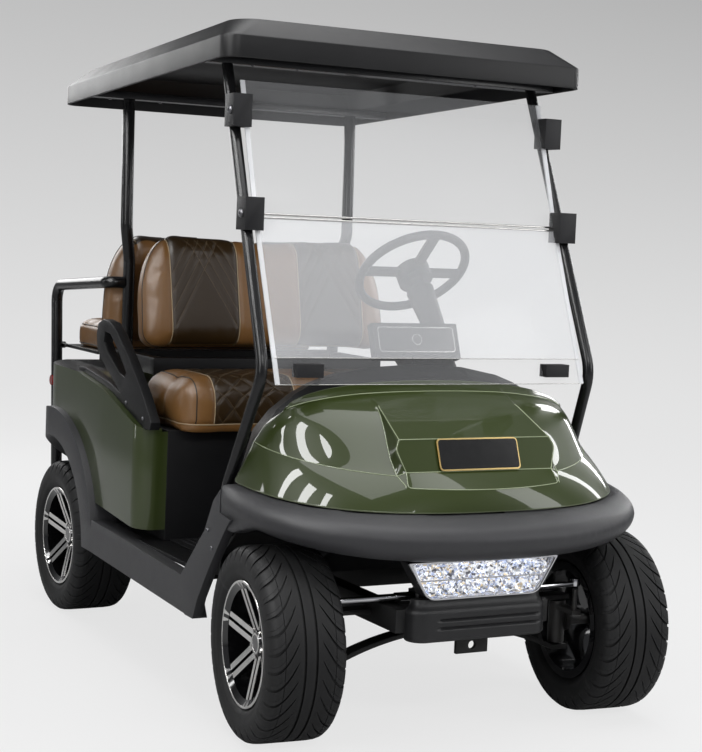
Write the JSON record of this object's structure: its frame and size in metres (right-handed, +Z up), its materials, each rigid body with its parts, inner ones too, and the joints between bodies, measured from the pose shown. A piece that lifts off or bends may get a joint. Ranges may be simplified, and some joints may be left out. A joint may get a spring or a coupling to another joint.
{
  "type": "golf cart",
  "caption": "Electric golf cart with a front bench, a rear-facing flip bench, a two-piece windshield and a moulded roof; wheels roll, the front pair steers.",
  "frame": {"origin": "on the ground below the middle of the cart's length and width", "axes": "+X to the driver's left side, +Y to the rear, +Z up; the nose points to -Y"},
  "size_m": [1.2622, 2.66, 1.933],
  "materials": {
    "tyre_rubber": "matt moulded tread",
    "machined_rim": "gloss black with machined faces",
    "chassis_black": "satin paint",
    "chrome_rod": "polished",
    "floor_black": "grained",
    "charcoal_plastic": "fine texture",
    "green_body": "gloss olive green",
    "battery_case": "matt",
    "lamp_clear": "clear lens",
    "lamp_red": "red lens",
    "satin_plastic": "satin",
    "black_tube": "powder coat",
    "clear_sheet": "clear acrylic",
    "tan_leather": "sewn, quilted centre panels"
  },
  "bodies": {
    "root": {"backrest_rail": "black_tube", "battery_pack": "battery_case", "chassis_frame": "chassis_black", "dash_pad": "satin_plastic", "drive_motor": "chassis_black", "floor_mat": "floor_black", "floor_pan": "floor_black", "footplate": "black_tube", "front_bumper": "charcoal_plastic", "front_cowl": "green_body", "front_suspension": "chassis_black", "guard_rails": "black_tube", "headlamp_bar": "lamp_clear", "hip_restraints": "satin_plastic", "lower_fascia": "charcoal_plastic", "pedals": "satin_plastic", "rear_axle": "chassis_black", "rear_backrest": "tan_leather", "rear_body": "green_body", "roof": "satin_plastic", "roof_brackets": "black_tube", "roof_struts": "black_tube", "seat_backrest": "tan_leather", "seat_base": "floor_black", "seat_cushion": "tan_leather", "side_trims": "charcoal_plastic", "steering_column": "satin_plastic", "tail_lamps": "lamp_red", "windshield_fittings": "satin_plastic", "windshield_lower": "clear_sheet", "windshield_upper": "clear_sheet"},
    "wheel_front_left": {"tyre_front_left": "tyre_rubber", "rim_front_left": "machined_rim"},
    "wheel_front_right": {"tyre_front_right": "tyre_rubber", "rim_front_right": "machined_rim"},
    "wheel_rear_left": {"tyre_rear_left": "tyre_rubber", "rim_rear_left": "machined_rim"},
    "wheel_rear_right": {"tyre_rear_right": "tyre_rubber", "rim_rear_right": "machined_rim"},
    "steering_knuckle_left": {"knuckle_left": "chassis_black"},
    "steering_knuckle_right": {"knuckle_right": "chassis_black"},
    "steering_hand_wheel": {"steering_wheel": "satin_plastic"},
    "steering_tie_rods": {"tie_rods": "chrome_rod"},
    "rear_seat_flap": {"rear_cushion": "tan_leather", "flip_deck": "black_tube"}
  },
  "joints": [
    {"name": "steering_wheel_turn", "type": "hinge", "parent": "root", "child": "steering_hand_wheel", "pos_m": [0.26, -0.286, 1.237], "axis": [0, 0.6691, 0.7431], "range_deg": [-366, 526]},
    {"name": "knuckle_left_steer", "type": "hinge", "parent": "root", "child": "steering_knuckle_left", "pos_m": [0.385, -0.99, 0.26], "axis": [0, 0, 1], "range_deg": [-23, 33]},
    {"name": "knuckle_right_steer", "type": "hinge", "parent": "root", "child": "steering_knuckle_right", "pos_m": [-0.385, -0.99, 0.26], "axis": [0, 0, 1], "range_deg": [-23, 33]},
    {"name": "tie_rod_slide", "type": "slide", "parent": "root", "child": "steering_tie_rods", "axis": [1, 0, 0], "range_m": [-0.037, 0.053]},
    {"name": "front_left_spin", "type": "hinge", "parent": "steering_knuckle_left", "child": "wheel_front_left", "pos_m": [0.50554, -1.00055, 0.26], "axis": [0.9962, -0.0872, 0], "continuous": true},
    {"name": "front_right_spin", "type": "hinge", "parent": "steering_knuckle_right", "child": "wheel_front_right", "pos_m": [-0.50554, -0.97945, 0.26], "axis": [0.9962, -0.0872, 0], "continuous": true},
    {"name": "rear_left_spin", "type": "hinge", "parent": "root", "child": "wheel_rear_left", "pos_m": [0.472, 0.674, 0.26], "axis": [1, 0, 0], "continuous": true},
    {"name": "rear_right_spin", "type": "hinge", "parent": "root", "child": "wheel_rear_right", "pos_m": [-0.472, 0.674, 0.26], "axis": [1, 0, 0], "continuous": true},
    {"name": "rear_seat_flip", "type": "hinge", "parent": "root", "child": "rear_seat_flap", "pos_m": [0, 1.055, 0.8987], "axis": [-1, 0, 0], "range_deg": [0, 180]}
  ],
  "couplings": [
    {"joint": "knuckle_left_steer", "follows": "steering_wheel_turn", "ratio": 0.0625},
    {"joint": "knuckle_right_steer", "follows": "steering_wheel_turn", "ratio": 0.0625},
    {"joint": "tie_rod_slide", "follows": "steering_wheel_turn", "m_per_rad": 0.0057063}
  ]
}
